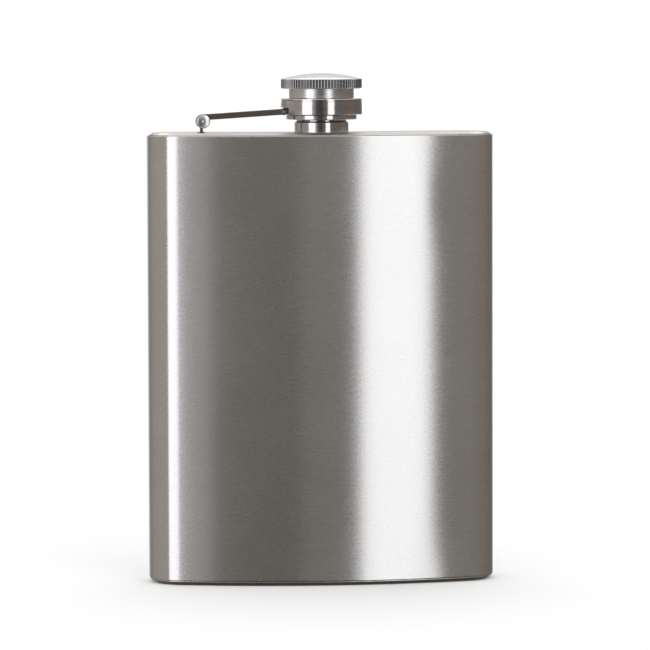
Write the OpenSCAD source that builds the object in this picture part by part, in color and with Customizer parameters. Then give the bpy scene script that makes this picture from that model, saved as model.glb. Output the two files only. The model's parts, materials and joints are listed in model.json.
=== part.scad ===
// Hip flask: a curved brushed-steel body with a screw cap held captive on a hinged arm.
// Millimetres. The origin is the centre of the base, +Z is up, and the bulging front faces -Y.

/* [Body] */
// Width across the two rounded ends
body_w = 95; // [85:1:105]
// Height from the base to the top plate
body_h = 123.2; // [100:0.1:140]
// Thickness of the body, the same from end to end
body_t = 20.8; // [20:0.2:22]
// Radius that the body is bent to, at the middle of its thickness
bend_r = 132.5; // [115:0.5:160]
// Thickness of the wrapped sheet
sheet_t = 0.6; // [0.5:0.05:0.8]

/* [Plates] */
// Thickness of the top and bottom plates
plate_t = 0.8; // [0.6:0.1:1]
// Width of the bevel round the top plate
top_bevel_w = 1.3; // [0.8:0.1:2]
// Ledge of the sheet's own edge outside the top plate
top_ledge = 0.25; // [0.1:0.05:0.4]
// Width of the bevel round the bottom plate
base_bevel_w = 1.4; // [1:0.1:2]
// Height of the bevel round the bottom plate
base_bevel_h = 1.2; // [1:0.1:1.6]

/* [Neck] */
// How far the neck stands in front of the middle of the section
neck_forward = 1.6; // [1:0.1:2.5]
// Radius of the pouring bore
bore_r = 5; // [4.5:0.1:5.2]
// Radius of the foot that rests on the top plate
foot_r = 7.4; // [7.2:0.1:7.8]
// Height of the foot below its chamfer
foot_h = 2.7; // [1.6:0.1:2.8]
// Outer radius of the neck's thread
thread_r = 6.3; // [6.2:0.05:6.35]
// Depth of the threads
thread_d = 0.35; // [0.2:0.05:0.35]
// Height of the lip over the top plate
lip_z = 11; // [10.8:0.1:11]

/* [Cap] */
// Radius of the knurled head
head_r = 11.05; // [10.5:0.05:11.5]
// Underside of the knurled head, over the top plate
head_z = 11.9; // [11.7:0.1:12]
// Height of the knurled band
head_h = 2.9; // [2.5:0.1:3.5]
// Rise of the domed top over the knurled band
dome_h = 1.3; // [0.8:0.1:2]
// Number of knurled teeth
knurls = 80; // [60:1:100]
// Radius of the smooth skirt under the head
skirt_r = 8.9; // [8.8:0.05:9.2]
// Underside of the skirt, over the top plate
skirt_z = 9.3; // [9.2:0.1:9.5]
// Radius of the sleeve's barrel, which the collar turns on
barrel_r = 8.2; // [8.1:0.05:8.25]
// Radius of the sleeve's bore at the crests of its thread
sleeve_bore_r = 7.2; // [7.15:0.05:7.25]
// Radius of the flange that keeps the collar on
flange_r = 9.65; // [9.4:0.05:9.8]
// Underside of that flange, over the top plate
flange_z = 3.5; // [3.4:0.05:3.6]
// Thickness of that flange
flange_t = 1.25; // [1.1:0.05:1.3]

/* [Collar and arm] */
// Outer radius of the collar
collar_r = 11.1; // [10.9:0.05:11.4]
// Running clearance between moving pieces
play = 0.05; // [0.02:0.01:0.08]
// Distance of the collar's flat step from the cap's axis
step_x = 9.4; // [9.3:0.05:9.5]
// Distance of the hinge from the neck's axis
hinge_x = 32.4; // [30:0.1:34]
// Height of the hinge over the top plate
hinge_z = 3.1; // [3:0.05:3.3]
// Thickness of the arm, seen from the side
arm_h = 1.6; // [1.4:0.1:1.7]
// Width of the arm, across the flask
arm_w = 4; // [3.8:0.1:4.4]
// Thickness of the arm's folded sheet
arm_t = 0.75; // [0.6:0.05:0.8]
// Rise of the arm towards the cap, in degrees
arm_rise = 3.7; // [3.4:0.1:4]
// Radius of the arm's eyes round the hinge rivet
eye_r = 1.9; // [1.8:0.05:1.95]
// Radius of the arm's ears round the collar pin
ear_r = 0.95; // [0.85:0.05:0.95]

/* [Hidden] */
$fn = 96;
OVER = 1; // how far a cutting shape runs past what it cuts

// The section is a strip of even thickness bent to bend_r, with half-round ends.
end_r = body_t / 2;
end_x = body_w / 2 - end_r;
bend_in = sqrt(pow(bend_r, 2) - pow(end_x, 2)); // the ends' distance from the bend's centre, along y
body_d = bend_r - bend_in + body_t;
bend_c = bend_r + end_r - body_d / 2;
end_c = bend_c - bend_in;
bend_a = asin(end_x / bend_r);
plate_lap = 0.5; // how far the plates' front and back halves run into each other
plate_in = end_r + plate_lap;

neck_hole_r = 6.8;
neck_flange_r = 8.2;
neck_flange_t = 1;
foot_chamfer_h = 0.35;
neck_shoulder_z = 3.35;
shoulder_chamfer = 0.3;
thread_z = 4.2;
thread_pitch = 1.5;
threads = 4;
THREAD_STEPS = [0.1, 0.35, 0.55, 0.8]; // parts of a pitch: groove's start, its floor from and to, its end
lip_chamfer = 0.3;
bore_chamfer = 0.2;

head_edge = 0.35;
knurl_d = 0.3;
gasket_t = 1;
gasket_r = sleeve_bore_r - 2 * play;
ceiling_z = 12.4; // roof of the cap's bore, over the top plate
lead_in = 0.3;
flange_chamfer = 0.3;
root_lap = 0.05; // the knurled band's core is this far inside the roots of its teeth

collar_z = flange_z + flange_t + 2 * play;
collar_h = skirt_z - collar_z - 2 * play;
collar_bore_r = barrel_r + 2 * play;
collar_flare = 0.1;
collar_edge = 0.25;
step_z = 6.8;
step_cut = 4; // thickness of the block that cuts the step
lug_lap = 0.2; // how far the lug's root runs into the collar

rivet_r = 0.8;
rivet_hole_r = 0.3;
rivet_head_r = 1.8;
rivet_head_t = 0.3;
pin_r = 0.4;
pin_x = 10.4; // distance of the collar pin from the cap's axis
bar_up = eye_r - arm_h / 2; // the bar's centre line over the hinge, square to the bar
arm_l = (hinge_x - pin_x + bar_up * sin(arm_rise)) / cos(arm_rise);
pin_z = hinge_z + arm_l * sin(arm_rise) + bar_up * cos(arm_rise);
web_t = 0.45;
web_start = 1.8;
web_gap = 1.25; // the web stops this far short of the pin
web_end = arm_l - web_gap;
knuckle_w = arm_w - 2 * arm_t - 2 * play;
knuckle_r = eye_r - web_t - 2 * play;
stem_t = 0.75;
stem_off = 0.4; // the stem stands this far left of the rivet
pad_l = 2.4;
pad_t = 0.35;

STEEL = [0.66, 0.65, 0.63];
BRIGHT = [0.82, 0.82, 0.83];
RUBBER = [0.85, 0.85, 0.82];

// ---- Placing ----

// Stands its children on the top plate at the neck's axis
module at_neck() {
    translate([0, -neck_forward, body_h]) children();
}

// Lays its children's XY plane upright at the hinge: x to the right, y up, thickness across the flask
module at_hinge(turn = 0) {
    at_neck() translate([-hinge_x, 0, hinge_z]) rotate([90, -turn, 0]) children();
}

// A disc or bar of width w, centred across the flask
module across(w) {
    linear_extrude(w, center = true) children();
}

// ---- Body ----

// Carries a profile round the whole section.
// The profile's x is the distance outside the section's outline, and its y is the height.
module round_section() {
    far = 1.2; // how far past the ends' centres the wedge between them reaches
    translate([0, bend_c, 0])
        intersection() {
            rotate_extrude() {
                translate([bend_r + end_r, 0]) children();
                translate([bend_r - end_r, 0]) mirror([1, 0]) children();
            }
            linear_extrude(body_h)
                polygon(far * [[0, 0], [-end_x, -bend_in], [0, -bend_r], [end_x, -bend_in]]);
        }
    for (side = [0, 1])
        mirror([side, 0, 0]) translate([end_x, end_c, 0])
            rotate([0, 0, bend_a - 90]) rotate_extrude(angle = 180)
                intersection() {
                    translate([end_r, 0]) children();
                    translate([0, -OVER]) square([end_r + OVER, body_h + 2 * OVER]);
                }
}

module body_shell() {
    color(STEEL)
        round_section()
            translate([-sheet_t, base_bevel_h])
                square([sheet_t, body_h - plate_t - base_bevel_h]);
}

module top_plate() {
    color(STEEL)
        difference() {
            round_section()
                polygon([
                    [-plate_in, body_h - plate_t], [-top_ledge, body_h - plate_t],
                    [-top_ledge - top_bevel_w, body_h], [-plate_in, body_h]
                ]);
            at_neck() translate([0, 0, -plate_t - OVER])
                cylinder(r = neck_hole_r, h = plate_t + 2 * OVER);
        }
}

module bottom_plate() {
    bevel_in = sheet_t * norm([base_bevel_w, base_bevel_h]) / base_bevel_h;
    slope = base_bevel_w / base_bevel_h;
    color(STEEL)
        round_section()
            polygon([
                [-plate_in, 0], [-base_bevel_w, 0], [0, base_bevel_h], [-bevel_in, base_bevel_h],
                [-bevel_in - slope * (base_bevel_h - plate_t), plate_t], [-plate_in, plate_t]
            ]);
}

// ---- Neck ----

// Points of a V-shaped thread profile from radius r, cut d deep, going up from height z
function thread_points(r, d, z) = [
    for (i = [0 : threads - 1], k = [0 : 3])
        [k == 0 || k == 3 ? r : r - d, z + thread_pitch * (i + THREAD_STEPS[k])]
];

module neck() {
    color(BRIGHT)
        at_neck() rotate_extrude()
            polygon(concat(
                [
                    [bore_r, -plate_t - neck_flange_t], [neck_flange_r, -plate_t - neck_flange_t],
                    [neck_flange_r, -plate_t], [neck_hole_r, -plate_t], [neck_hole_r, 0],
                    [foot_r, 0], [foot_r, foot_h], [neck_hole_r, foot_h + foot_chamfer_h],
                    [neck_hole_r, neck_shoulder_z], [thread_r, neck_shoulder_z + shoulder_chamfer]
                ],
                thread_points(thread_r, thread_d, thread_z),
                [
                    [thread_r, lip_z - lip_chamfer], [thread_r - lip_chamfer, lip_z],
                    [bore_r + bore_chamfer, lip_z], [bore_r, lip_z - bore_chamfer]
                ]
            ));
}

// ---- Hinge and arm ----

module hinge_post() {
    color(BRIGHT) {
        difference() {
            union() {
                at_hinge() across(knuckle_w) circle(knuckle_r);
                at_hinge() across(knuckle_w)
                    translate([-stem_off - stem_t / 2, -hinge_z]) square([stem_t, hinge_z]);
                at_hinge() across(knuckle_w)
                    polygon([
                        [-stem_off - pad_l / 2, -hinge_z], [-stem_off + pad_l / 2, -hinge_z],
                        [-stem_off + stem_t / 2, -hinge_z + 2 * pad_t],
                        [-stem_off - stem_t / 2, -hinge_z + 2 * pad_t]
                    ]);
            }
            at_hinge() across(arm_w) circle(rivet_r);
        }
    }
}

module hinge_rivet() {
    barrel_l = arm_w + 2 * play;
    color(BRIGHT)
        difference() {
            union() {
                at_hinge() across(barrel_l) circle(rivet_r);
                for (side = [-1, 1])
                    at_hinge() translate([0, 0, side * (barrel_l + rivet_head_t) / 2])
                        across(rivet_head_t) circle(rivet_head_r);
            }
            at_hinge() across(barrel_l + 2 * rivet_head_t + OVER) circle(rivet_hole_r);
        }
}

// One side of the arm, seen square on: an eye at the hinge, a straight bar and an ear at the pin
module cheek() {
    across(arm_t)
        difference() {
            union() {
                circle(eye_r);
                translate([0, bar_up - arm_h / 2]) square([arm_l, arm_h]);
                translate([arm_l, bar_up]) circle(ear_r);
            }
            circle(rivet_r + play);
            translate([arm_l, bar_up]) circle(pin_r);
        }
}

module arm() {
    color(STEEL) {
        for (side = [-1, 1])
            at_hinge(arm_rise) translate([0, 0, side * (arm_w - arm_t) / 2]) cheek();
        at_hinge(arm_rise) across(arm_w - 2 * arm_t)
            translate([web_start, eye_r - web_t]) square([web_end - web_start, web_t]);
    }
}

module collar_pin() {
    color(BRIGHT)
        at_hinge(arm_rise) translate([arm_l, bar_up]) across(arm_w) circle(pin_r);
}

// ---- Captive cap ----

module collar() {
    lug_w = arm_w - 2 * arm_t - 2 * play;
    color(BRIGHT)
        difference() {
            union() {
                difference() {
                    at_neck() translate([0, 0, collar_z]) rotate_extrude()
                        polygon([
                            [collar_bore_r, 0], [collar_r + collar_flare - collar_edge, 0],
                            [collar_r + collar_flare, collar_edge], [collar_r, collar_h - collar_edge],
                            [collar_r - collar_edge, collar_h], [collar_bore_r, collar_h]
                        ]);
                    at_neck() translate([-step_x - step_cut, -collar_r, collar_z - OVER])
                        cube([step_cut, 2 * collar_r, step_z - collar_z + OVER]);
                }
                at_hinge(arm_rise) translate([arm_l, bar_up]) across(lug_w) circle(ear_r);
                at_neck() translate([-pin_x, -lug_w / 2, collar_z])
                    cube([pin_x - step_x + lug_lap, lug_w, step_z - collar_z + lug_lap]);
            }
            at_hinge(arm_rise) translate([arm_l, bar_up]) across(arm_w) circle(pin_r + play);
        }
}

module cap_sleeve() {
    color(BRIGHT)
        at_neck() rotate_extrude()
            polygon(concat(
                [
                    [sleeve_bore_r, ceiling_z], [barrel_r, ceiling_z], [barrel_r, flange_z + flange_t],
                    [flange_r, flange_z + flange_t], [flange_r, flange_z + flange_chamfer],
                    [flange_r - flange_chamfer, flange_z], [sleeve_bore_r + lead_in, flange_z],
                    [sleeve_bore_r, flange_z + lead_in]
                ],
                thread_points(sleeve_bore_r, -thread_d, thread_z)
            ));
}

// Outline of the knurled band: teeth between the radii r - knurl_d and r
module knurl_outline(r) {
    polygon([
        for (i = [0 : 2 * knurls - 1])
            let (q = i % 2 == 0 ? r : r - knurl_d)
                q * [cos(180 * i / knurls), sin(180 * i / knurls)]
    ]);
}

module cap_head() {
    top_z = head_z + head_h;
    root_r = head_r - knurl_d - root_lap;
    dome_r = (pow(root_r - head_edge, 2) + pow(dome_h, 2)) / (2 * dome_h);
    color(BRIGHT)
        at_neck() {
            difference() {
                union() {
                    translate([0, 0, head_z + head_edge])
                        linear_extrude(head_h - 2 * head_edge) knurl_outline(head_r);
                    rotate_extrude()
                        polygon([
                            [0, skirt_z], [skirt_r, skirt_z], [skirt_r, head_z],
                            [root_r - head_edge, head_z], [root_r, head_z + head_edge],
                            [root_r, top_z - head_edge], [root_r - head_edge, top_z], [0, top_z]
                        ]);
                    intersection() {
                        translate([0, 0, top_z + dome_h - dome_r]) sphere(dome_r);
                        translate([0, 0, top_z - head_edge])
                            cylinder(r = root_r - head_edge, h = dome_h + 2 * head_edge);
                    }
                }
                translate([0, 0, skirt_z - OVER])
                    cylinder(r = barrel_r, h = ceiling_z - skirt_z + OVER);
            }
        }
}

module cap_gasket() {
    color(RUBBER)
        at_neck() translate([0, 0, ceiling_z - gasket_t]) cylinder(r = gasket_r, h = gasket_t);
}

body_shell();
top_plate();
bottom_plate();
neck();
hinge_post();
hinge_rivet();
arm();
collar_pin();
collar();
cap_sleeve();
cap_head();
cap_gasket();
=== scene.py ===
"""Hip flask with a captive screw cap: its pieces, finishes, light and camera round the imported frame.

Lengths are millimetres until a mesh is made. +X is to the right, -Y is the bulging front, +Z is up.
"""

from __future__ import annotations

import json
import logging
import math
from dataclasses import dataclass, field
from enum import Enum

import bmesh
import bpy
import numpy as np
from bpy.types import ID, Material, Node, NodeSocket, Object, World
from mathutils import Matrix, Vector
from mathutils.geometry import tessellate_polygon

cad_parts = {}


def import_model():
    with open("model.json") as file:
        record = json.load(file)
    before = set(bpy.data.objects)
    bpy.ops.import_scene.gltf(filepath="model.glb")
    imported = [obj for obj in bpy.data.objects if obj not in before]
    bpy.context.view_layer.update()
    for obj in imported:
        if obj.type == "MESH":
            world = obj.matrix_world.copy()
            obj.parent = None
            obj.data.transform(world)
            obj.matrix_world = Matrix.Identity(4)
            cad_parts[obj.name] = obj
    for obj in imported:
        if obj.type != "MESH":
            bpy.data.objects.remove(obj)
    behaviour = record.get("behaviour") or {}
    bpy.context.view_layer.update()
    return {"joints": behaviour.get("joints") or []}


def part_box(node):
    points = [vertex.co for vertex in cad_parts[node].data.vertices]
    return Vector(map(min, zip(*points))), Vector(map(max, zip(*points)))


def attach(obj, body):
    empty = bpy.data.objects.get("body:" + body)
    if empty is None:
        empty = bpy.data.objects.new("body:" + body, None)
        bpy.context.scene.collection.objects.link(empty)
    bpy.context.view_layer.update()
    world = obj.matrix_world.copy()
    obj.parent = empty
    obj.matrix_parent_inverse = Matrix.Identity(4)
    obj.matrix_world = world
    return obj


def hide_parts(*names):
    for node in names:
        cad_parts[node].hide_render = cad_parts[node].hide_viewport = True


MM = 0.001
WELD = 0.002 * MM  # points closer than this are one point
SHARP = math.radians(40)  # edges that turn more than this are shaded sharp
FULL_TURN = 2 * math.pi
ROUND = 144  # columns round a turned piece
THREAD_STEP = 0.09  # between rows along a thread, mm
NEAR = 0.01  # radii closer than this are the same, mm

Pair = tuple[float, float]
Triple = tuple[float, float, float]
Colour = Triple | NodeSocket

log = logging.getLogger("hip_flask")


class Slot(Enum):
    """The record's material slots."""

    BRUSHED = "brushed_steel"
    POLISHED = "polished_steel"
    RUBBER = "gasket_rubber"


class Grain(Enum):
    """Which way the fine lines of a metal finish run."""

    LEVEL = "level"  # along X and Y, so round an upright wall
    ACROSS = "across"  # along X only
    TURNED = "turned"  # in rings round the neck's axis


# ---- Surfaces ----


@dataclass
class Surface:
    """Points, the faces that join them, and at each point the metal's wear, with painted shade below 0.
    """

    points: np.ndarray
    faces: list[np.ndarray]
    wear_and_shade: np.ndarray

    @classmethod
    def grid(cls, points: np.ndarray, wear_and_shade: np.ndarray, close_rows: bool = False) -> Surface:
        """Joins a grid of points with four-sided faces; the last column joins the first.

        Args:
            points: (rows, columns, 3).
            wear_and_shade: wear of each row or point, from -1, the darkest painted shade, to 1, rubbed
                bright.
            close_rows: whether the last row joins the first.

        Returns:
            The surface.
        """
        rows, columns = points.shape[:2]
        index = np.arange(rows * columns).reshape(rows, columns)
        if close_rows:
            index = np.vstack([index, index[:1]])
        index = np.hstack([index, index[:, :1]])
        corners = [index[:-1, :-1], index[:-1, 1:], index[1:, 1:], index[1:, :-1]]
        wear_and_shade_rows = wear_and_shade.reshape(rows, -1)
        return cls(
            points.reshape(-1, 3),
            [np.stack(corners, axis=-1).reshape(-1, 4)],
            np.broadcast_to(wear_and_shade_rows, (rows, columns)).ravel(),
        )

    @classmethod
    def joined(cls, *parts: Surface) -> Surface:
        """One surface that holds all the parts, side by side."""
        starts = np.cumsum([0] + [len(part.points) for part in parts])
        return cls(
            np.concatenate([part.points for part in parts]),
            [block + start for part, start in zip(parts, starts) for block in part.faces],
            np.concatenate([part.wear_and_shade for part in parts]),
        )

    def placed(self, matrix: Matrix) -> Surface:
        """The surface turned and moved by a 4 x 4 matrix in millimetres."""
        turn = np.array(matrix)
        return Surface(self.points @ turn[:3, :3].T + turn[:3, 3], self.faces, self.wear_and_shade)


@dataclass
class Profile:
    """A line of points in a plane, with the wear of the metal at each."""

    points: np.ndarray
    wear_and_shade: np.ndarray

    def dense(self, step: float) -> Profile:
        """Adds points by straight interpolation, so that no two are further apart than step."""
        length = np.linalg.norm(np.diff(self.points, axis=0), axis=1)
        pieces = np.maximum(1, np.ceil(length / step)).astype(int)
        place = np.concatenate(
            [i + np.arange(n) / n for i, n in enumerate(pieces)] + [[float(len(pieces))]]
        )
        known = np.arange(len(self.points))
        points = np.stack([np.interp(place, known, axis) for axis in self.points.T], axis=-1)
        return Profile(points, np.interp(place, known, self.wear_and_shade))


def rounded(corners: list[Pair], radius: float | list[float], steps: int = 5) -> Profile:
    """Rounds the corners of a closed outline.

    With a and b the unit directions from a corner p to its neighbours and w half the angle between
    them, the arc's centre is p + r (a + b) / (|a + b| sin w), and the arc swings from the foot of
    the centre on one edge to its foot on the other. A plain point on each side keeps the flats flat.

    Args:
        corners: (x, y) of each corner, in order.
        radius: of every corner, or of each.
        steps: spans in each arc.

    Returns:
        The closed outline, worn on its arcs.
    """
    p = np.array(corners, float)
    r = np.broadcast_to(np.array(radius, float), len(p))[:, None]
    a = np.roll(p, 1, axis=0) - p
    b = np.roll(p, -1, axis=0) - p
    a /= np.linalg.norm(a, axis=1, keepdims=True)
    b /= np.linalg.norm(b, axis=1, keepdims=True)
    swing = np.arccos(np.clip(-(a * b).sum(1), -1, 1))[:, None, None]
    half = (math.pi - swing[:, :, 0]) / 2
    reach = r / np.tan(half)
    middle = a + b
    centre = p + r * middle / np.linalg.norm(middle, axis=1, keepdims=True) / np.sin(half)
    start = (p + a * reach - centre)[:, None]
    end = (p + b * reach - centre)[:, None]
    s = np.linspace(0, 1, steps + 1)[None, :, None]
    swung = (np.sin((1 - s) * swing) * start + np.sin(s * swing) * end) / np.sin(swing)
    before = p + a * (reach + r / 3)
    after = p + b * (reach + r / 3)
    points = np.concatenate([before[:, None], centre[:, None] + swung, after[:, None]], axis=1)
    wear_and_shade = np.zeros((len(p), steps + 3))
    wear_and_shade[:, 1:-1] = (r > 0).astype(float)
    return Profile(points.reshape(-1, 2), wear_and_shade.ravel())


def turned(profile: Profile, columns: int) -> Surface:
    """Spins a closed profile of (radius, height) round the Z axis: (r cos t, r sin t, z)."""
    t = np.arange(columns) * FULL_TURN / columns
    radius = np.broadcast_to(profile.points[:, :1], (len(profile.points), columns))
    return spun(radius, profile, t)


def spun(
    radius: np.ndarray, profile: Profile, t: np.ndarray, wear_and_shade: np.ndarray | None = None
) -> Surface:
    """Sets points round the Z axis from a radius for each row and angle.

    Args:
        radius: (rows, columns).
        profile: gives each row's height and wear.
        t: angle of each column.
        wear_and_shade: (rows, columns), or None for the profile's own values, with painted shade below
            0.

    Returns:
        The surface (radius cos t, radius sin t, z), whose last row joins the first.
    """
    z = np.broadcast_to(profile.points[:, 1:], radius.shape)
    points = np.stack([radius * np.cos(t), radius * np.sin(t), z], axis=-1)
    return Surface.grid(points, profile.wear_and_shade if wear_and_shade is None else wear_and_shade, close_rows=True)


def outward(loop: np.ndarray) -> np.ndarray:
    """Unit normals of a closed loop that runs anticlockwise: its tangent turned back by 90 degrees."""
    tangent = np.roll(loop, -1, axis=0) - np.roll(loop, 1, axis=0)
    normal = np.stack([tangent[:, 1], -tangent[:, 0]], axis=-1)
    return normal / np.linalg.norm(normal, axis=1, keepdims=True)


def plate(outline: np.ndarray, holes: list[np.ndarray], width: float, edge: float) -> Surface:
    """A flat plate with rounded edges, centred on the XY plane.

    Each loop's wall is a grid: a quarter circle of radius edge leads from the flat to the wall, so
    at the angle w the loop stands in by edge (1 - cos w) and at the height width/2 - edge (1 - sin w).

    Args:
        outline: the outer loop, anticlockwise.
        holes: the inner loops, anticlockwise.
        width: thickness of the plate.
        edge: radius of the edges.

    Returns:
        The closed surface.
    """
    w = np.linspace(math.pi / 2, 0, 5)
    spare = 1.3 * edge  # of the plain rows that keep the flat and the wall flat
    inset = np.concatenate([[spare], edge * (1 - np.cos(w)), [0]])
    height = width / 2 - np.concatenate([[0], edge * (1 - np.sin(w)), [spare]])
    wear_and_shade = np.concatenate([[0], np.ones(len(w)), [0]])
    inset = np.concatenate([inset, inset[::-1]])
    height = np.concatenate([height, -height[::-1]])
    wear_and_shade = np.concatenate([wear_and_shade, wear_and_shade[::-1]])
    walls, rims = [], []
    for loop, side in [(outline, -1.0)] + [(hole, 1.0) for hole in holes]:
        flat = loop[None] + side * inset[:, None, None] * outward(loop)[None]
        z = np.broadcast_to(height[:, None, None], flat.shape[:2] + (1,))
        walls.append(Surface.grid(np.concatenate([flat, z], axis=-1), wear_and_shade))
        rims.append(flat[0])
    triangles = np.array(tessellate_polygon([[Vector((*q, 0)) for q in rim.tolist()] for rim in rims]))
    rim = np.concatenate(rims)
    flats = [
        Surface(np.hstack([rim, np.full((len(rim), 1), z)]), [triangles], np.zeros(len(rim)))
        for z in (width / 2, -width / 2)
    ]
    return Surface.joined(*walls, *flats)


def arc(centre: Pair, radius: float, start: float, end: float, steps: int = 24) -> np.ndarray:
    """Points on a circle from one angle to another, in degrees."""
    t = np.radians(np.linspace(start, end, steps + 1))
    return np.array(centre) + radius * np.stack([np.cos(t), np.sin(t)], axis=-1)


def ring(radius: float, centre: Pair = (0, 0)) -> np.ndarray:
    """A whole circle, anticlockwise."""
    return arc(centre, radius, 0, 360, 40)[:-1]


def threaded(
    profile: Profile,
    radius: float,
    depth: float,
    pitch: float,
    low: float,
    high: float,
) -> Surface:
    """Spins a closed profile round the Z axis and cuts a screw thread in its wall of one radius.

    The phase is height / pitch less the part of a turn. The groove is a V with a flat root, half_gap
    of a pitch from its middle to its edge, and it fades in and out over half a pitch at each end.

    Args:
        profile: of (radius, height).
        radius: of the wall.
        depth: of the thread, less than 0 in a bore.
        pitch: rise of one turn.
        low: where the thread starts.
        high: where it ends.

    Returns:
        The surface.
    """
    half_gap, flank = 0.38, 0.26
    profile = profile.dense(THREAD_STEP)
    t = np.arange(ROUND) * FULL_TURN / ROUND
    reach, height = profile.points[:, :1], profile.points[:, 1:]
    phase = np.mod((height - low) / pitch - t[None] / FULL_TURN, 1)
    vee = np.clip((half_gap - np.abs(phase - 0.5)) / flank, 0, 1)
    fade = np.clip(np.minimum(height - low, high - height) / (pitch / 2), 0, 1)
    cut = vee * vee * (3 - 2 * vee) * fade
    return spun(reach - depth * cut * (np.abs(reach - radius) < NEAR), profile, t)


# ---- Finishes ----


class Nodes:
    """Short calls for building the node tree of a material or a world."""

    def __init__(self, owner: Material | World, shader: str = "Principled BSDF") -> None:
        """Turns on the owner's nodes and finds the shader that they end in.

        Args:
            owner: a new material or world.
            shader: name of the shader it starts with.
        """
        owner.use_nodes = True
        self.owner = owner
        self.tree = owner.node_tree
        self.shader = self.tree.nodes[shader]

    def fill(self, node: Node, values: dict) -> None:
        """Sets a node's inputs, by name or number, to values or output sockets."""
        for key, value in values.items():
            if isinstance(value, NodeSocket):
                self.tree.links.new(value, node.inputs[key])
            else:
                node.inputs[key].default_value = value

    def set(self, values: dict) -> None:
        """Fills the shader's own inputs."""
        self.fill(self.shader, values)

    def add(self, kind: str, inputs: dict | None = None, **settings: object) -> Node:
        """Adds a node.

        Args:
            kind: the node's type, without its ShaderNode prefix.
            inputs: value or output socket for each input, by name or number.
            settings: the node's own properties.

        Returns:
            The node.
        """
        node = self.tree.nodes.new("ShaderNode" + kind)
        for key, value in settings.items():
            setattr(node, key, value)
        self.fill(node, inputs or {})
        return node

    def maths(self, operation: str, *values: object) -> NodeSocket:
        """The result of a Math node on numbers or sockets."""
        return self.add("Math", dict(enumerate(values)), operation=operation).outputs[0]

    def noise(self, vector: NodeSocket, scale: Triple, detail: float) -> NodeSocket:
        """Noise from 0 to 1 with its own scale, in features a metre, along each axis."""
        stretched = self.add("Mapping", {"Vector": vector, "Scale": scale})
        source = self.add("TexNoise", {"Vector": stretched.outputs[0], "Scale": 1.0, "Detail": detail})
        return source.outputs["Fac"]

    def between(self, factor: NodeSocket, low: float, high: float) -> NodeSocket:
        """Spreads a 0.3 to 0.7 noise over the range from low to high."""
        inputs = {"Value": factor, "From Min": 0.3, "From Max": 0.7, "To Min": low, "To Max": high}
        return self.add("MapRange", inputs).outputs[0]

    def blend(self, factor: NodeSocket, low: Colour, high: Colour) -> NodeSocket:
        """A colour between two colours or sockets, by a factor."""
        low, high = ((*end, 1) if isinstance(end, tuple) else end for end in (low, high))
        return self.add("Mix", {0: factor, 6: low, 7: high}, data_type="RGBA").outputs[2]


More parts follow.
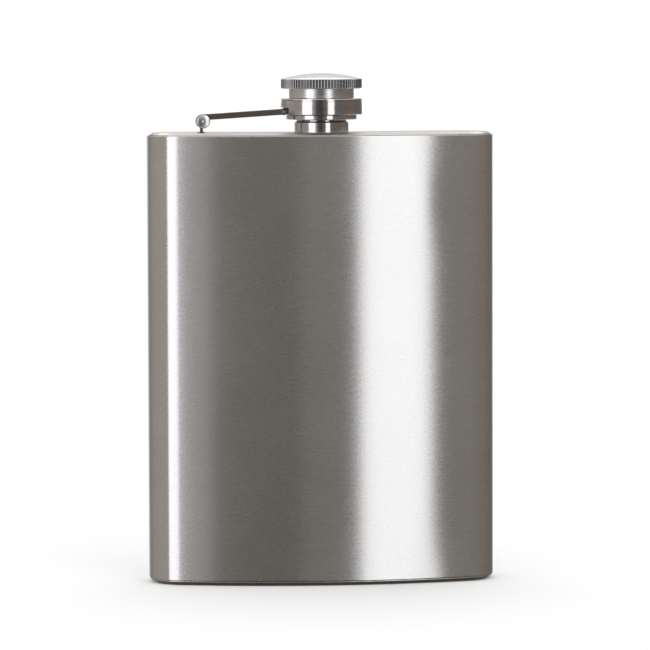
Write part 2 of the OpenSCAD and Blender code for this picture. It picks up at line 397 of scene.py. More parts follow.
@dataclass(frozen=True)
class Metal:
    """A steel finish: fine lines, broad handling marks, edges rubbed brighter and painted shade where
    the mesh's values fall below 0.
    """

    name: str
    grain: Grain
    colour: Triple = (0.60, 0.575, 0.55)
    bright: Triple = (0.66, 0.64, 0.62)  # the colour on rubbed edges
    roughness: float = 0.3
    spread: float = 0.03  # how far the roughness strays with the lines
    line_gap: float = 0.1  # width of one line, mm
    line_length: float = 7.0  # length of one line, mm
    depth: float = 0.0012  # of the lines, mm
    sparkle: float = 2.2  # depth of the specks, in depths of the lines
    specks: Triple = (2300.0, 2300.0, 3600.0)  # features a metre along each axis
    marks: Triple = (45.0, 45.0, 45.0)  # the same, of the handling marks
    shade: float = 0.94  # the colour's part left between the lines
    shade_paint: float = 0.22  # the colour's part left where the painted shade is darkest
    stretch: float = 0.0  # anisotropy of the highlights
    axis: Pair = (0.0, 0.0)  # x and y of the axis that turned lines run round

    def lines(self, nodes: Nodes, place: NodeSocket) -> NodeSocket:
        """Noise from 0 to 1, drawn out into fine lines.

        Args:
            nodes: the material's nodes.
            place: object coordinates. Turned lines use the distance from their axis and the height.

        Returns:
            The noise.
        """
        fine, long = 1 / (self.line_gap * MM), 1 / (self.line_length * MM)
        if self.grain is not Grain.TURNED:
            across = fine if self.grain is Grain.ACROSS else long
            return nodes.noise(place, (long, across, fine), 3.0)
        centre = (-self.axis[0] * MM, -self.axis[1] * MM, 0)
        local = nodes.add("Mapping", {"Vector": place, "Location": centre}).outputs[0]
        flat = nodes.add("VectorMath", {0: local, 1: (1, 1, 0)}, operation="MULTIPLY").outputs[0]
        radius = nodes.add("VectorMath", {0: flat}, operation="LENGTH").outputs["Value"]
        height = nodes.add("SeparateXYZ", {0: local}).outputs["Z"]
        lines_at = nodes.add("CombineXYZ", {"X": radius, "Y": height}).outputs[0]
        return nodes.noise(lines_at, (fine, fine, 0), 2.0)

    def material(self) -> Material:
        """Builds the finish as a procedural material."""
        nodes = Nodes(bpy.data.materials.new(self.name))
        place = nodes.add("TexCoord").outputs["Object"]
        lines = self.lines(nodes, place)
        marks = nodes.noise(place, self.marks, 3.0)
        specks = nodes.noise(place, self.specks, 2.0)
        wear_and_shade = nodes.add("Attribute", attribute_name="wear_and_shade").outputs["Fac"]
        strays = nodes.between(lines, -self.spread, self.spread)
        strays = nodes.maths("ADD", strays, nodes.between(marks, -self.spread / 2, self.spread / 2))
        rough = nodes.maths("ADD", strays, self.roughness)
        rough = nodes.maths("MULTIPLY_ADD", wear_and_shade, -self.roughness / 4, rough)
        tint = nodes.maths("ADD", nodes.between(lines, 0, 0.7), nodes.between(marks, -0.15, 0.15))
        tint = nodes.maths("MAXIMUM", tint, wear_and_shade)
        relief = nodes.maths("MULTIPLY_ADD", specks, self.sparkle, lines)
        bump = nodes.add("Bump", {"Height": relief, "Distance": self.depth * MM, "Strength": 1.0})
        metal = nodes.blend(tint, tuple(self.shade * part for part in self.colour), self.bright)
        # Painted shade: below 0 the mesh's values darken the colour towards a small part of itself.
        painted_shade = nodes.maths("MAXIMUM", nodes.maths("MULTIPLY", wear_and_shade, -1.0), 0.0)
        shade_colour = tuple(self.shade_paint * part for part in self.colour)
        nodes.set({
            "Base Color": nodes.blend(painted_shade, metal, shade_colour),
            "Metallic": 1.0,
            "Roughness": rough,
            "Normal": bump.outputs[0],
        })
        if self.stretch:
            along = nodes.add("Tangent", direction_type="RADIAL", axis="Z")
            nodes.set({
                "Anisotropic": self.stretch,
                "Anisotropic Rotation": 0.25,
                "Tangent": along.outputs[0],
            })
        return nodes.owner


@dataclass(frozen=True)
class Rubber:
    """Pale moulded silicone with a fine matt skin."""

    name: str = "gasket_silicone"
    colour: Triple = (0.80, 0.79, 0.75)
    shade: Triple = (0.70, 0.69, 0.64)
    roughness: float = 0.55
    clouds: Triple = (220.0, 220.0, 220.0)  # features a metre along each axis
    grains: Triple = (6000.0, 6000.0, 6000.0)

    def material(self) -> Material:
        """Builds the finish as a procedural material."""
        nodes = Nodes(bpy.data.materials.new(self.name))
        place = nodes.add("TexCoord").outputs["Object"]
        cloud = nodes.noise(place, self.clouds, 3.0)
        skin = nodes.noise(place, self.grains, 2.0)
        bump = nodes.add("Bump", {"Height": skin, "Distance": 0.02 * MM, "Strength": 0.6})
        nodes.set({
            "Base Color": nodes.blend(cloud, self.shade, self.colour),
            "Roughness": nodes.between(cloud, self.roughness - 0.08, self.roughness + 0.08),
            "Subsurface Weight": 0.1,
            "Subsurface Scale": 0.002,
            "Normal": bump.outputs[0],
        })
        return nodes.owner


# ---- Pieces ----


def added(name: str, data: ID) -> Object:
    """Puts a new object that holds the data into the scene."""
    thing = bpy.data.objects.new(name, data)
    bpy.context.scene.collection.objects.link(thing)
    return thing


def make_piece(
    name: str, surface: Surface, finish: Material, body: str, node: str
) -> None:
    """Makes one finished piece that stands for a CAD node.

    Args:
        name: of the piece.
        surface: its shape, in millimetres.
        finish: its material.
        body: the moving body that carries it.
        node: the CAD node that it replaces.
    """
    mesh = bpy.data.meshes.new(name)
    faces = [face for block in surface.faces for face in block.tolist()]
    mesh.from_pydata((surface.points * MM).tolist(), [], faces)
    mesh.attributes.new("wear_and_shade", "FLOAT", "POINT").data.foreach_set("value", surface.wear_and_shade)
    shape = bmesh.new()
    shape.from_mesh(mesh)
    bmesh.ops.remove_doubles(shape, verts=shape.verts, dist=WELD)
    bmesh.ops.dissolve_degenerate(shape, edges=shape.edges, dist=WELD / 2)
    bmesh.ops.recalc_face_normals(shape, faces=shape.faces)
    shape.to_mesh(mesh)
    shape.free()
    mesh.shade_smooth()
    mesh.set_sharp_from_angle(angle=SHARP)
    mesh.materials.append(finish)
    piece = added(name, mesh)
    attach(piece, body)
    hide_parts(node)
    mesh.calc_loop_triangles()
    log.info("%s: %d triangles on %s", name, len(mesh.loop_triangles), body)


@dataclass
class Section:
    """The body seen from above: a strip of even thickness bent to an arc, with half-round ends."""

    width: float
    depth: float
    thickness: float = 20.8
    arc_steps: int = 120
    end_steps: int = 48

    def __post_init__(self) -> None:
        """Works out the bend from the width and depth.

        Its radius is (half span squared + sag squared) / (2 sag), for the strip's middle line.
        """
        self.end_r = self.thickness / 2
        self.end_x = self.width / 2 - self.end_r
        sag = self.depth - self.thickness
        self.bend_r = (self.end_x**2 + sag**2) / (2 * sag)
        self.bend_y = self.bend_r + self.end_r - self.depth / 2
        self.bend_a = math.asin(self.end_x / self.bend_r)
        self.points, self.normals = self.outline()

    def outline(self) -> tuple[np.ndarray, np.ndarray]:
        """Points and outward normals round the outline, anticlockwise from the front's left end.

        A normal at the angle f is (sin f, -cos f). On the front the point is the bend's centre plus
        (bend_r + end_r) times the normal, on the back it is the centre less (bend_r - end_r) times
        it, and round an end it is the end's centre plus end_r times it.

        Returns:
            (n, 2) points and (n, 2) normals.
        """
        a, half = self.bend_a, math.pi
        end_y = self.bend_y - self.bend_r * math.cos(a)
        bend, right, left = (0, self.bend_y), (self.end_x, end_y), (-self.end_x, end_y)
        stretches = [
            (bend, self.bend_r + self.end_r, -a, a, self.arc_steps),
            (right, self.end_r, a, half + a, self.end_steps),
            (bend, self.end_r - self.bend_r, half + a, half - a, self.arc_steps),
            (left, self.end_r, half - a, 2 * half - a, self.end_steps),
        ]
        points, normals = [], []
        for centre, radius, start, end, steps in stretches:
            f = np.linspace(start, end, steps, endpoint=False)
            normal = np.stack([np.sin(f), -np.cos(f)], axis=-1)
            points.append(np.array(centre) + radius * normal)
            normals.append(normal)
        return np.concatenate(points), np.concatenate(normals)

    def carried(self, profile: Profile, relief: np.ndarray | None = None) -> np.ndarray:
        """Carries a profile of (distance outside the outline, height) round the whole outline.

        Args:
            profile: the rows.
            relief: (rows, columns) added to the distance, or None.

        Returns:
            (rows, columns, 3) points: outline + distance x normal, at the profile's height.
        """
        out = np.broadcast_to(profile.points[:, :1], (len(profile.points), len(self.points)))
        if relief is not None:
            out = out + relief
        flat = self.points[None] + out[..., None] * self.normals[None]
        z = np.broadcast_to(profile.points[:, 1:, None], flat.shape[:2] + (1,))
        return np.concatenate([flat, z], axis=-1)


@dataclass
class Body:
    """The bent shell with its top and bottom plates."""

    section: Section
    shell_low: float
    shell_high: float
    top: float
    neck_axis: Pair
    sheet: float = 0.6
    ledge: float = 0.25
    top_bevel: float = 1.3
    base_bevel: float = 1.4
    plate: float = 0.8
    neck_hole_r: float = 6.8
    edge: float = 0.15
    fold: float = 0.3
    swell: float = 0.075  # how far the front stands out, right of its middle and near its top
    swell_from: float = 0.4  # where that starts, from 0 at the middle to 1 at the end's centre
    shoulder: Pair = (0.86, 0.15)  # the swell's middle and reach up the wall, in parts of its height
    foot: Pair = (0.17, 1.4)  # the dip's reach up the wall, and its depth in swells

    def shell(self) -> Surface:
        """The wrapped sheet: a thin upright strip carried round the outline, a little uneven in front.

        The unevenness is swell x (bulge - depth x dip) x bell. With h the height from 0 to 1, the
        bulge is cos(90 degrees x (h - middle) / reach)^2 and the dip is (1 - h / reach)^2, each
        where it is in reach, and the bell is sin(pi (x - a) / (b - a))^2 between two places a and b
        across the front.
        """
        low, high = self.shell_low, self.shell_high
        corners = [(-self.sheet, low), (0, low), (0, high), (-self.sheet, high)]
        profile = rounded(corners, [0.05, self.fold, self.edge, 0.05]).dense(3.0)
        height = (profile.points[:, 1:] - low) / (high - low)
        across = self.section.points[:, 0]
        front = self.section.normals[:, 1] < -math.cos(self.section.bend_a) + 1e-6
        start, end = self.swell_from * self.section.end_x, self.section.end_x
        bell = np.sin(math.pi * np.clip((across - start) / (end - start), 0, 1)) ** 2 * front
        middle, reach = self.shoulder
        bulge = np.cos(math.pi / 2 * np.clip((height - middle) / reach, -1, 1)) ** 2
        reach, depth = self.foot
        dip = np.clip(1 - height / reach, 0, 1) ** 2
        relief = self.swell * (bulge - depth * dip) * bell[None]
        return Surface.grid(self.section.carried(profile, relief), profile.wear_and_shade, close_rows=True)

    def top_plate(self) -> Surface:
        """The plate with its bevel, joined to the neck's hole by straight lines from the outline."""
        deep = 2 * self.top_bevel
        under, top = self.top - self.plate, self.top
        corners = [
            (-deep, under), (-self.ledge, under), (-self.ledge - self.top_bevel, top), (-deep, top),
        ]
        profile = rounded(corners, [0, self.edge, 2 * self.edge, 0])
        rows = self.section.carried(profile)
        away = self.section.points - np.array(self.neck_axis)
        distance = np.linalg.norm(away, axis=1, keepdims=True)
        hole = np.array(self.neck_axis) + self.neck_hole_r * away / distance
        rims = [np.hstack([hole, np.full((len(hole), 1), z)])[None] for z in (top, under)]
        wear_and_shade = np.concatenate([profile.wear_and_shade, [0, 0]])
        return Surface.grid(np.concatenate([rows, *rims]), wear_and_shade, close_rows=True)

    def bottom_plate(self) -> Surface:
        """The shallow dish under the shell, its profile closed at the section's middle line."""
        slope = math.hypot(self.base_bevel, self.shell_low) / self.shell_low
        inner = self.sheet * slope
        step = self.base_bevel / self.shell_low * (self.shell_low - self.plate)
        middle = self.section.end_r
        corners = [
            (-middle, 0), (-self.base_bevel, 0), (0, self.shell_low),
            (-inner, self.shell_low), (-inner - step, self.plate), (-middle, self.plate),
        ]
        profile = rounded(corners, [0, self.fold, self.edge, 0.05, 0.05, 0])
        return Surface.grid(self.section.carried(profile), profile.wear_and_shade, close_rows=True)

    def build(self) -> None:
        """Makes and dresses the three pieces."""
        wall = Metal(
            "brushed_wall", Grain.LEVEL, roughness=0.27, spread=0.012, line_gap=0.14, line_length=2.0,
            depth=0.0009, sparkle=4.5, stretch=1.0,
        )
        lid = Metal("pressed_lid", Grain.ACROSS, (0.53, 0.51, 0.49), (0.6, 0.58, 0.56), roughness=0.32)
        base = Metal("pressed_base", Grain.ACROSS, roughness=0.32)
        for name, shape, finish in [
            ("body_shell", self.shell(), wall),
            ("top_plate", self.top_plate(), lid),
            ("bottom_plate", self.bottom_plate(), base),
        ]:
            make_piece("flask_" + name, shape, finish.material(), "root", name)


@dataclass
class Neck:
    """The threaded spout that stands on the top plate."""

    axis: Pair
    base: float
    lip_z: float
    bore_r: float = 5.0
    foot_r: float = 7.4
    foot_h: float = 2.7
    body_r: float = 6.8
    shoulder: Triple = (3.05, 3.35, 3.65)  # heights of its chamfer, its edge and the thread
    thread_r: float = 6.3
    thread_d: float = 0.35
    thread_in: Pair = (0.4, 0.6)  # how far the thread stays from its stretch's ends
    pitch: float = 1.5
    flange: Triple = (8.2, -1.8, -0.8)  # radius, bottom and top

    def surface(self) -> Surface:
        """A turned profile whose threaded stretch is cut by a helical groove."""
        r, low, high = self.flange
        chamfer, shoulder, start = self.shoulder
        corners = [
            (self.bore_r, low), (r, low), (r, high), (self.body_r, high), (self.body_r, 0),
            (self.foot_r, 0), (self.foot_r, self.foot_h), (self.body_r, chamfer),
            (self.body_r, shoulder), (self.thread_r, start), (self.thread_r, self.lip_z),
            (self.bore_r, self.lip_z),
        ]
        radius = [0.1, 0.15, 0.1, 0, 0, 0.1, 0.12, 0.12, 0.12, 0.1, 0.35, 0.25]
        first, last = start + self.thread_in[0], self.lip_z - self.thread_in[1]
        profile = rounded(corners, radius)
        return threaded(profile, self.thread_r, self.thread_d, self.pitch, first, last)

    def build(self, finish: Material) -> None:
        """Makes and dresses the neck."""
        shape = self.surface().placed(Matrix.Translation((*self.axis, self.base)))
        make_piece("flask_neck", shape, finish, "root", "neck")


@dataclass
class Hinge:
    """The post on the top plate, its tubular rivet, and the arm that holds the cap."""

    place: Triple  # the rivet's axis
    pin: Triple  # the collar pin's axis
    base: float
    play: float = 0.05
    arm_w: float = 4.0
    arm_t: float = 0.75
    arm_h: float = 1.6
    bar_up: float = 1.1
    eye_r: float = 1.9
    ear_r: float = 0.95
    pin_r: float = 0.4
    rivet_r: float = 0.8
    rivet_hole_r: float = 0.3
    rivet_head_r: float = 1.8
    rivet_head_t: float = 0.3
    rivet_crown: float = 0.1  # width of the crown round the hole
    rivet_dip: float = 0.15  # how far the crown's inner edge is turned in
    rivet_fall: float = 0.75  # how much of its thickness a head loses to its rim
    knuckle_r: float = 1.35
    stem_t: float = 0.75
    stem_off: float = 0.4
    stem_edge: float = 0.08
    pad_l: float = 2.4
    pad_t: float = 0.7
    web_t: float = 0.45
    web_edge: float = 0.05
    web_ends: Pair = (1.8, 1.25)  # how far the web stops from the rivet and from the pin
    edge: float = 0.14

    def __post_init__(self) -> None:
        """Works out the arm's length and rise from the two axes and the bar's height over the rivet."""
        run, rise = self.pin[0] - self.place[0], self.pin[2] - self.place[2]
        self.arm_l = math.sqrt(run**2 + rise**2 - self.bar_up**2)
        self.arm_rise = math.atan2(rise, run) - math.atan2(self.bar_up, self.arm_l)

    def upright(self, turn: float = 0.0) -> Matrix:
        """Stands a shape that lies in XY upright at the rivet, turned up by an angle."""
        return (
            Matrix.Translation(self.place)
            @ Matrix.Rotation(-turn, 4, "Y")
            @ Matrix.Rotation(math.pi / 2, 4, "X")
        )

    def post(self) -> Surface:
        """A knuckle round the rivet on a thin stem that spreads at its foot."""
        left, right = -self.stem_off - self.stem_t / 2, -self.stem_off + self.stem_t / 2
        foot = self.base - self.place[2]
        spread = (self.pad_l - self.stem_t) / 2
        start = math.degrees(math.atan2(-math.sqrt(self.knuckle_r**2 - right**2), right))
        end = math.degrees(math.atan2(-math.sqrt(self.knuckle_r**2 - left**2), left))
        outline = np.concatenate([
            arc((0, 0), self.knuckle_r, start, 360 + end, 36),
            arc((left - spread, foot + self.pad_t), spread, 0, -80, 8),
            arc((right + spread, foot + self.pad_t), spread, 260, 180, 8),
        ])
        outline[:, 1] = np.maximum(outline[:, 1], foot)
        width = self.arm_w - 2 * self.arm_t - 2 * self.play
        return plate(outline, [ring(self.rivet_r)], width, self.stem_edge).placed(self.upright())

    def rivet(self) -> Surface:
        """A tube with a domed head at each end, turned round its own axis.

        A head falls from its crown by rim x q^2, where q is how far out a point is, from 0 to 1.
        """
        reach = self.arm_w / 2 + self.play
        crown = self.rivet_hole_r + self.rivet_crown
        fall = np.linspace(0, 1, 9)
        rim = self.rivet_head_t * self.rivet_fall
        dome = [
            (crown + (self.rivet_head_r - crown) * q, reach + self.rivet_head_t - rim * q * q)
            for q in fall.tolist()
        ]
        upper = [
            (self.rivet_r, reach), (self.rivet_head_r, reach), *dome[::-1],
            (self.rivet_hole_r, reach + self.rivet_head_t - self.rivet_dip),
        ]
        corners = upper + [(radius, -height) for radius, height in upper[::-1]]
        profile = Profile(np.array(corners), np.zeros(len(corners)))
        return turned(profile, 72).placed(self.upright())

    def cheek(self, side: int) -> Surface:
        """One side of the arm: an eye, a straight bar and an ear, as one outline with two holes."""
        meets = math.degrees(math.asin((self.bar_up - self.arm_h / 2) / self.eye_r))
        flare = math.degrees(math.asin(self.arm_h / 2 / self.ear_r))
        outline = np.concatenate([
            arc((0, 0), self.eye_r, 90, 360 + meets, 44),
            arc((self.arm_l, self.bar_up), self.ear_r, flare - 180, 180 - flare, 24),
        ])
        holes = [ring(self.rivet_r + self.play), ring(self.pin_r, (self.arm_l, self.bar_up))]
        shift = Matrix.Translation((0, 0, side * (self.arm_w - self.arm_t) / 2))
        return plate(outline, holes, self.arm_t, self.edge).placed(shift)

    def web(self) -> Surface:
        """The folded sheet between the cheeks, let into their shoulders."""
        low, top = self.eye_r - self.web_t, self.eye_r
        start, end = self.web_ends[0], self.arm_l - self.web_ends[1]
        corners = [(start, low), (end, low), (end, top), (start, top)]
        outline = rounded(corners, 0.1).points
        return plate(outline, [], self.arm_w - 2.6 * self.edge, self.web_edge)

    def arm(self) -> Surface:
        """The pressed arm: two cheeks and the web."""
        shape = Surface.joined(self.cheek(-1), self.cheek(1), self.web())
        return shape.placed(self.upright(self.arm_rise))

    def collar_pin(self) -> Surface:
        """A short pin with rounded ends."""
        half = self.arm_w / 2
        corners = [(0, -half), (self.pin_r, -half), (self.pin_r, half), (0, half)]
        profile = rounded(corners, [0, 0.15, 0.15, 0])
        shift = Matrix.Translation((self.arm_l, self.bar_up, 0))
        return turned(profile, 48).placed(self.upright(self.arm_rise) @ shift)

    def build(self, bright: Material, satin: Material, pressed: Material) -> None:
        """Makes and dresses the hinge's four pieces."""
        for name, shape, finish, body in [
            ("hinge_post", self.post(), pressed, "root"),
            ("hinge_rivet", self.rivet(), satin, "root"),
            ("arm", self.arm(), pressed, "arm"),
            ("collar_pin", self.collar_pin(), bright, "arm"),
        ]:
            make_piece("flask_" + name, shape, finish, body, name)


@dataclass
class Cap:
    """The captive cap: collar, sleeve, knurled head and gasket. Heights are over the top plate."""

    axis: Pair
    base: float
    pin: Triple
    play: float = 0.05
    head_r: float = 11.05
    head_z: float = 11.9
    band_h: float = 2.9
    dome_h: float = 1.3
    chamfer: Pair = (0.85, 0.33)  # of the head's top rim, width and height
    lower_chamfer: float = 0.25
    ledge: float = 0.1  # between the chamfer and the dome
    knurls: int = 80
    knurl_d: float = 0.3
    skirt_r: float = 8.9
    skirt_z: float = 9.3
    barrel_r: float = 8.2
    bore_r: float = 7.2
    ceiling_z: float = 12.4
    flange_r: float = 9.65
    flange: Pair = (3.5, 4.75)  # bottom and top
    thread_d: float = 0.35
    thread_in: Pair = (0.6, 0.3)  # how far the thread stays from its stretch's ends
    pitch: float = 1.5
    collar_r: float = 11.1
    collar: Pair = (4.85, 9.2)  # bottom and top
    collar_columns: int = 192
    rim: float = 0.5  # how far in a cut still reaches
    flare: float = 0.1
    edge: float = 0.2
    step_x: float = 9.4
    step_z: float = 6.8
    facet_at: float = 35.6  # degrees from the left, of the flats beside the lug
    facet_half: float = 8.0
    groove: Triple = (0.5, 0.12, 0.2)  # under the collar's top: how far down, its depth and width
    lug_w: float = 2.4
    lug_r: float = 0.95
    lug_in: float = 0.2  # how far its root is let into the collar
    lug_up: float = 0.02  # how far its floor stays over the collar's
    lug_edge: float = 0.05
    pin_r: float = 0.4
    gasket_t: float = 1.0

    def place(self) -> Matrix:
        """Stands a shape turned about Z on the top plate, at the cap's axis."""
        return Matrix.Translation((*self.axis, self.base))

    def head(self) -> Surface:
        """The knurled head with its domed top and its skirt.

        The knurl's radius swings between head_r and head_r - knurl_d with five points a tooth, and
        every row takes the lesser of the profile's radius and the knurl's. Shade is painted over the
        knurled band, half on the crests and full at the groove bottoms.
        """
        low, high = self.head_z, self.head_z + self.band_h
        bevel, drop = self.chamfer
        crown_r = self.head_r - bevel - self.ledge
        bulge = np.linspace(1, 0, 26)[1:-1]
        dome = [(crown_r * q, high + self.dome_h * (1 - q * q)) for q in bulge.tolist()]
        corners = [
            (0, self.ceiling_z), (self.barrel_r, self.ceiling_z), (self.barrel_r, self.skirt_z),
            (self.skirt_r, self.skirt_z), (self.skirt_r, low), (self.head_r - self.lower_chamfer, low),
            (self.head_r, low + self.lower_chamfer), (self.head_r, high - drop),
            (self.head_r - bevel, high), (crown_r, high), *dome, (0, high + self.dome_h),
        ]
        radius = [0, 0, 0.1, 0.15, 0.12, 0.1, 0.04, 0.04, 0.06, 0.06] + [0] * (len(dome) + 1)
        profile = rounded(corners, radius, 4).dense(0.5)
        step = np.array([-0.07, 0.07, 0.28, 0.5, 0.72])
        depth = np.tile([0.0, 0.0, 0.45, 1.0, 0.45], self.knurls)
        # painted shade over the knurled band: half on the crests, full at the groove bottoms
        shade_paint = np.tile([0.5, 0.5, 0.8, 1.0, 0.8], self.knurls)
        t = ((np.arange(self.knurls)[:, None] + step) * FULL_TURN / self.knurls).ravel()
        knurl = self.head_r - self.knurl_d * depth
        reach, height = profile.points[:, :1], profile.points[:, 1:]
        on_band = (height > low - NEAR) & (height < high + NEAR)
        radius_at = np.where(on_band, np.minimum(reach, knurl[None]), reach)
        on_knurl = on_band & (reach > self.head_r - self.knurl_d)
        painted_shade = on_knurl & (height < high - drop) & (height > low + self.lower_chamfer)
        wear_and_shade = np.where(painted_shade, -shade_paint[None], profile.wear_and_shade[:, None])
        return spun(radius_at, profile, t, wear_and_shade=wear_and_shade)

    def sleeve(self) -> Surface:
        """The barrel that screws on the neck, with a flange that keeps the collar on."""
        low, high = self.flange
        corners = [
            (self.bore_r, self.ceiling_z), (self.bore_r, low), (self.flange_r, low),
            (self.flange_r, high), (self.barrel_r, high), (self.barrel_r, self.ceiling_z),
        ]
        profile = rounded(corners, [0, 0.3, 0.22, 0.18, 0.05, 0])
        first, last = low + self.thread_in[0], self.ceiling_z - self.gasket_t - self.thread_in[1]
        return threaded(profile, self.bore_r, -self.thread_d, self.pitch, first, last)

    def collar_ring(self) -> Surface:
        """The collar's ring, its lower left cut off square.

        It has a shallow flat each side of the lug and a fine groove under its top. A flat at the
        angle m whose nearest point is d from the axis has the radius d / cos(t - m) at the angle t,
        and each point takes the least of that and the profile's radius.
        """
        low, high = self.collar
        bore, out = self.barrel_r + 2 * self.play, self.collar_r + self.flare
        down, deep, wide = self.groove
        corners = [
            (bore, low), (out, low), (self.collar_r + self.flare / 2, self.step_z),
            (self.collar_r, high - down - wide), (self.collar_r - deep, high - down - wide * 0.7),
            (self.collar_r - deep, high - down - wide * 0.3), (self.collar_r, high - down),
            (self.collar_r, high), (bore, high),
        ]
        profile = rounded(corners, [0.1, self.edge, 0, 0, 0, 0, 0, self.edge, 0.1])
        split = int(np.argmin(np.abs(profile.points[:, 1] - self.step_z)))
        points = np.insert(profile.points, split, profile.points[split], axis=0)
        profile = Profile(points, np.insert(profile.wear_and_shade, split, 0.0))
        half, at = math.radians(self.facet_half), math.radians(self.facet_at)
        ends = np.array([math.acos(self.step_x / self.collar_r), at - half, at + half])
        even = np.arange(self.collar_columns) * FULL_TURN / self.collar_columns
        t = np.unique(np.concatenate([even, math.pi - ends, math.pi + ends]).round(5))
        from_left = np.abs(t - math.pi)
        hair = 1e-4  # so that a flat's ends count as on it
        step = np.where(from_left <= ends[0] + hair, self.step_x / np.cos(from_left), np.inf)
        facet = self.collar_r * math.cos(half) / np.cos(from_left - at)
        facet = np.where(np.abs(from_left - at) <= half + hair, facet, np.inf)
        reach = np.broadcast_to(points[:, :1], (len(points), len(t)))
        outer = points[:, :1] > self.collar_r - self.rim
        reach = np.where(outer, np.minimum(reach, facet[None]), reach)
        cut = (np.arange(len(points)) <= split)[:, None] & (points[:, :1] > self.step_x - self.rim)
        return spun(np.where(cut, np.minimum(reach, step[None]), reach), profile, t)

    def collar_lug(self) -> Surface:
        """The lug that the pin goes through, rooted in the collar's overhang and flat underneath."""
        x, z = self.pin[0] - self.axis[0], self.pin[2] - self.base
        root_x, root_z = -self.step_x + self.lug_in - x, self.step_z + self.lug_in - z
        floor = self.collar[0] - z + self.lug_up
        past_floor = 210 + math.degrees(math.acos(-floor / self.lug_r))
        outline = np.concatenate([
            arc((0, 0), self.lug_r, 90, past_floor, 20),
            [(root_x, floor), (root_x, root_z), (0, root_z)],
        ])
        outline[:, 1] = np.maximum(outline[:, 1], floor)
        shape = plate(outline, [ring(self.pin_r + self.play)], self.lug_w, self.lug_edge)
        upright = Matrix.Translation((x, 0, z)) @ Matrix.Rotation(math.pi / 2, 4, "X")
        return shape.placed(upright)

    def gasket(self) -> Surface:
        """A plain sealing disc with rounded rims."""
        r, low = self.bore_r - 2 * self.play, self.ceiling_z - self.gasket_t
        corners = [(0, low), (r, low), (r, self.ceiling_z), (0, self.ceiling_z)]
        return turned(rounded(corners, [0, 0.2, 0.2, 0]), 96)

    def build(self, bright: Material, satin: Material) -> None:
        """Makes and dresses the cap's four pieces."""
        collar = Surface.joined(self.collar_ring(), self.collar_lug())
        for name, shape, finish, slot, body in [
            ("collar", collar, bright, Slot.POLISHED, "collar"),
            ("cap_sleeve", self.sleeve(), bright, Slot.POLISHED, "cap"),
            ("cap_head", self.head(), satin, Slot.POLISHED, "cap"),
            ("cap_gasket", self.gasket(), Rubber().material(), Slot.RUBBER, "cap"),
        ]:
            make_piece("flask_" + name, shape.placed(self.place()), finish, body, name)


# ---- Studio ----


@dataclass
class Softbox:
    """A rectangular lamp that stands round the flask and faces it."""

    name: str
    bearing: float  # degrees right of straight in front
    rise: float  # degrees over the horizon
    distance: float  # metres
    size: Pair  # width and height, metres
    power: float
    colour: Triple = (1.0, 1.0, 1.0)
    fills: bool = True  # whether it lights the floor as well as the metal
    aim: Triple = (0.0, 0.0, 0.07)

    def build(self) -> None:
        """Makes the lamp."""
        lamp = bpy.data.lights.new(self.name, "AREA")
        lamp.shape = "RECTANGLE"
        lamp.size, lamp.size_y = self.size
        lamp.energy, lamp.color = self.power, self.colour
        a, e = math.radians(self.bearing), math.radians(self.rise)
        away = Vector((math.sin(a) * math.cos(e), -math.cos(a) * math.cos(e), math.sin(e)))
        holder = added(self.name, lamp)
        holder.location = Vector(self.aim) + away * self.distance
        holder.rotation_mode = "QUATERNION"
        holder.rotation_quaternion = away.to_track_quat("Z", "Y")
        holder.visible_camera = False
        holder.visible_diffuse = self.fills


@dataclass
class Camera:
    """A long lens, slightly left of the front and just above the cap, looking a little down."""

    bearing: float = 5.0  # degrees left of straight in front
    distance: float = 1.1983  # metres from the Z axis
    height: float = 0.1535  # metres
    turn: float = 5.045  # degrees right of straight back
    pitch: float = 3.97  # degrees down
    roll: float = -0.18  # degrees
    lens: float = 242.8
    sensor: float = 36.0
    clip: Pair = (0.05, 50.0)  # metres

    def build(self) -> None:
        """Makes the camera and looks through it."""
        lens = bpy.data.cameras.new("camera")
        lens.lens, lens.sensor_width = self.lens, self.sensor
        lens.clip_start, lens.clip_end = self.clip
        a = math.radians(self.bearing)
        holder = added("camera", lens)
        holder.matrix_world = (
            Matrix.Translation((-self.distance * math.sin(a), -self.distance * math.cos(a), self.height))
            @ Matrix.Rotation(-math.radians(self.turn), 4, "Z")
            @ Matrix.Rotation(math.pi / 2 - math.radians(self.pitch), 4, "X")
            @ Matrix.Rotation(math.radians(self.roll), 4, "Z")
        )
        bpy.context.scene.camera = holder


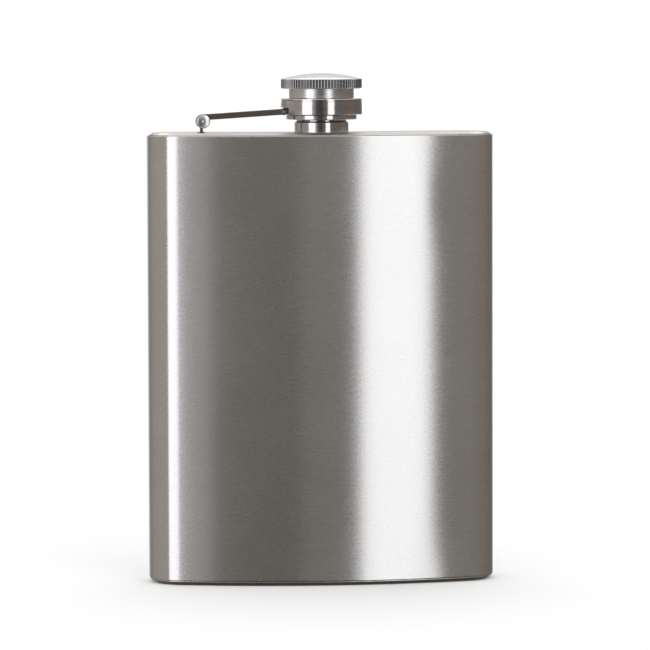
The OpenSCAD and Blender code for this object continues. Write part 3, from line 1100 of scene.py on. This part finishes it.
@dataclass
class Studio:
    """The floor, the room's light and the lamps."""

    floor_size: float = 12.0  # metres
    backdrop: Triple = (1.16, 1.16, 1.16)
    gloom: Triple = (0.068, 0.060, 0.053)
    # Each glow's axis, where it starts and is full, and its colour:
    glows: tuple[tuple[str, float, float, Triple], ...] = (
        ("X", -0.1, -0.95, (0.41, 0.385, 0.36)),
        ("X", 0.35, 0.6, (0.185, 0.172, 0.158)),
        ("X", 0.9, 0.99, (0.225, 0.178, 0.14)),
        ("Y", 0.8, 0.98, (0.72, 0.72, 0.72)),
        ("Z", 0.05, 0.75, (1.05, 1.02, 0.98)),
    )
    lamps: list[Softbox] = field(default_factory=lambda: [
        Softbox("left_softbox", -45.5, 2.0, 1.6, (0.83, 1.9), 9.8, (0.86, 0.89, 1.0), fills=False),
        Softbox("right_softbox", 22.3, 2.0, 1.6, (0.50, 1.9), 6.3, (0.895, 0.93, 0.985)),
        Softbox("right_spill", 6.0, 2.0, 1.7, (0.40, 1.9), 0.2),
        Softbox("left_spill", -25.8, 2.0, 1.7, (0.2, 1.9), 0.3, (0.85, 0.89, 1.0), fills=False),
        Softbox("top_softbox", 180.0, 47.0, 1.5, (1.6, 0.4), 3.0, fills=False),
    ])

    def floor(self) -> None:
        """A plain pale floor, which the metal doesn't mirror."""
        half = self.floor_size / 2
        mesh = bpy.data.meshes.new("floor")
        corners = [(-half, -half, 0), (half, -half, 0), (half, half, 0), (-half, half, 0)]
        mesh.from_pydata(corners, [], [(0, 1, 2, 3)])
        nodes = Nodes(bpy.data.materials.new("floor_paper"))
        fibre = nodes.noise(nodes.add("TexCoord").outputs["Object"], (900, 900, 900), 2.0)
        nodes.set({
            "Base Color": nodes.blend(fibre, (0.88, 0.88, 0.88), (0.92, 0.92, 0.92)),
            "Roughness": 0.9,
        })
        mesh.materials.append(nodes.owner)
        floor = added("floor", mesh)
        floor.visible_glossy = False

    def room(self) -> None:
        """A white room to the eye and the floor, and a dim one for the metal to mirror.

        The mirrored room is warm and dark in front, lighter to the sides and the back, and bright
        overhead.
        """
        nodes = Nodes(bpy.data.worlds.new("room"), "Background")
        bpy.context.scene.world = nodes.owner
        way = nodes.add("SeparateXYZ", {0: nodes.add("TexCoord").outputs["Generated"]}).outputs
        shade: Colour = self.gloom
        for axis, start, end, colour in self.glows:
            inputs = {"Value": way[axis], "From Min": start, "From Max": end}
            reach = nodes.add("MapRange", inputs, interpolation_type="SMOOTHSTEP").outputs[0]
            shade = nodes.blend(reach, shade, colour)
        mirrored = nodes.add("LightPath").outputs["Is Glossy Ray"]
        nodes.set({"Color": nodes.blend(mirrored, self.backdrop, shade)})

    def build(self) -> None:
        """Sets up the floor, the room, the lamps and the camera."""
        self.floor()
        self.room()
        for lamp in self.lamps:
            lamp.build()
        Camera().build()
        bpy.context.scene.view_settings.view_transform = "Standard"
        log.info("studio: %d lamps", len(self.lamps))


def main() -> None:
    """Builds every sub-assembly round the frame."""
    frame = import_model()
    logging.basicConfig(level=logging.INFO, format="%(name)s %(message)s")
    joints = {
        joint["name"]: tuple(part / MM for part in joint["pos_m"]) for joint in frame["joints"]
    }
    neck_axis = joints["cap_turn"][:2]
    shell_low, shell_high = (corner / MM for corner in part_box("body_shell"))
    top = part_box("top_plate")[1].z / MM
    size = shell_high - shell_low

    bright = Metal(
        "turned_steel", Grain.TURNED, colour=(0.53, 0.505, 0.485), bright=(0.68, 0.66, 0.64),
        roughness=0.13, spread=0.03, line_gap=0.16, depth=0.0006, axis=neck_axis,
    ).material()
    satin = Metal(
        "satin_head", Grain.TURNED, colour=(0.66, 0.65, 0.64), bright=(0.74, 0.73, 0.72),
        roughness=0.27, spread=0.06, line_gap=0.22, depth=0.002, axis=neck_axis,
    ).material()
    pressed = Metal(
        "pressed_steel", Grain.ACROSS, colour=(0.34, 0.295, 0.27), bright=(0.19, 0.16, 0.145),
        roughness=0.24, line_gap=0.2, line_length=6.0, depth=0.001,
    ).material()

    Body(Section(size.x, size.y), shell_low.z, shell_high.z, top, neck_axis).build()
    Neck(neck_axis, top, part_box("neck")[1].z / MM - top).build(bright)
    Hinge(joints["arm_swing"], joints["collar_tilt"], top).build(bright, satin, pressed)
    Cap(neck_axis, top, joints["collar_tilt"]).build(bright, satin)
    Studio().build()


if __name__ == "__main__":
    main()
